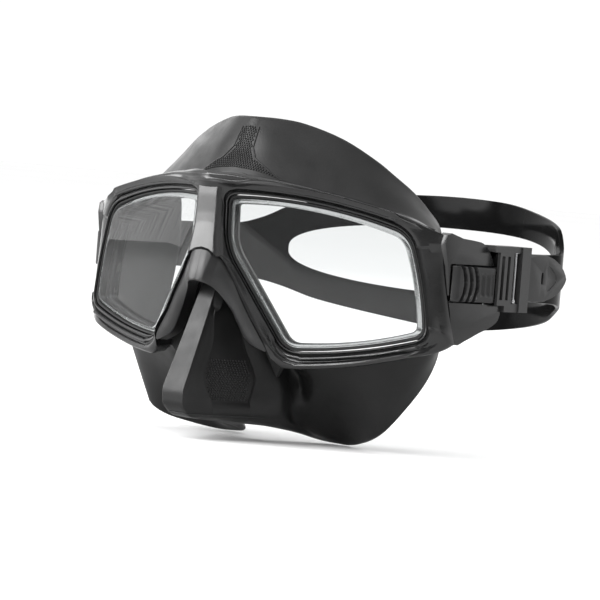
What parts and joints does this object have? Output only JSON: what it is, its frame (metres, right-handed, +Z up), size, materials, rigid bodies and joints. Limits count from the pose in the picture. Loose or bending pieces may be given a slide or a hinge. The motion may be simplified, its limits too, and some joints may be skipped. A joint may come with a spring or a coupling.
{
  "type": "diving mask",
  "caption": "Low-volume twin-lens diving mask with a silicone skirt, nose pocket, sliding side clips and a split head strap.",
  "frame": {"origin": "on the surface the mask stands on, under the middle of its bounding box", "axes": "+X towards the wearer's left, +Y from the glass towards the back of the head, +Z up; the mask is symmetric about X = 0"},
  "size_m": [0.172, 0.1668, 0.114],
  "materials": {
    "frame_plastic": "glossy black polycarbonate",
    "trim_plastic": "satin black moulding",
    "silicone": "matte black liquid silicone",
    "strap_silicone": "smooth black silicone",
    "gasket": "matte black seal",
    "pin_steel": "satin stainless steel",
    "lens_glass": "clear tempered glass"
  },
  "bodies": {
    "mask": {"frame": "frame_plastic", "nose_arch": "trim_plastic", "skirt": "silicone", "lens_left": "lens_glass", "lens_seal_left": "gasket", "lens_retainer_left": "trim_plastic", "side_arm_left": "frame_plastic", "lens_right": "lens_glass", "lens_seal_right": "gasket", "lens_retainer_right": "trim_plastic", "side_arm_right": "frame_plastic"},
    "clip_left": {"clip_left": "trim_plastic", "tab_pin_left": "pin_steel", "lock_pin_left": "pin_steel", "strap_wrap_left": "strap_silicone"},
    "clip_right": {"clip_right": "trim_plastic", "tab_pin_right": "pin_steel", "lock_pin_right": "pin_steel", "strap_wrap_right": "strap_silicone"},
    "strap": {"strap": "strap_silicone"},
    "release_tab_left": {"release_tab_left": "trim_plastic"},
    "strap_roller_left": {"strap_roller_left": "pin_steel"},
    "strap_tail_left": {"strap_tail_left": "strap_silicone"},
    "release_tab_right": {"release_tab_right": "trim_plastic"},
    "strap_roller_right": {"strap_roller_right": "pin_steel"},
    "strap_tail_right": {"strap_tail_right": "strap_silicone"}
  },
  "joints": [
    {"name": "clip_left_release", "type": "slide", "parent": "mask", "child": "clip_left", "axis": [0, 1, 0], "range_m": [0, 0.02]},
    {"name": "clip_right_release", "type": "slide", "parent": "mask", "child": "clip_right", "axis": [0, 1, 0], "range_m": [0, 0.02]},
    {"name": "strap_adjust", "type": "slide", "parent": "clip_left", "child": "strap", "axis": [0, -1, 0], "range_m": [0, 0.008]},
    {"name": "release_tab_left_press", "type": "hinge", "parent": "clip_left", "child": "release_tab_left", "pos_m": [0.0809, -0.0111, 0.06185], "axis": [0, 0, -1], "range_deg": [0, 2.5], "stiffness_Nm_per_rad": 1.5, "springref_deg": -1.72},
    {"name": "strap_tail_left_slide", "type": "slide", "parent": "clip_left", "child": "strap_tail_left", "axis": [0, 1, 0], "range_m": [0, 0.008]},
    {"name": "strap_roller_left_turn", "type": "hinge", "parent": "clip_left", "child": "strap_roller_left", "pos_m": [0.08105, -0.0063, 0.06435], "axis": [0, 0, 1], "range_deg": [0, 224.1]},
    {"name": "release_tab_right_press", "type": "hinge", "parent": "clip_right", "child": "release_tab_right", "pos_m": [-0.0809, -0.0111, 0.06185], "axis": [0, 0, 1], "range_deg": [0, 2.5], "stiffness_Nm_per_rad": 1.5, "springref_deg": -1.72},
    {"name": "strap_tail_right_slide", "type": "slide", "parent": "clip_right", "child": "strap_tail_right", "axis": [0, 1, 0], "range_m": [0, 0.008]},
    {"name": "strap_roller_right_turn", "type": "hinge", "parent": "clip_right", "child": "strap_roller_right", "pos_m": [-0.08105, -0.0063, 0.06435], "axis": [0, 0, -1], "range_deg": [0, 224.1]}
  ],
  "couplings": [
    {"joint": "clip_right_release", "follows": "clip_left_release", "ratio": 1},
    {"joint": "strap_tail_left_slide", "follows": "strap_adjust", "ratio": 1},
    {"joint": "strap_roller_left_turn", "follows": "strap_adjust", "rad_per_m": 487.8},
    {"joint": "strap_tail_right_slide", "follows": "strap_adjust", "ratio": 1},
    {"joint": "strap_roller_right_turn", "follows": "strap_adjust", "rad_per_m": 487.8}
  ]
}
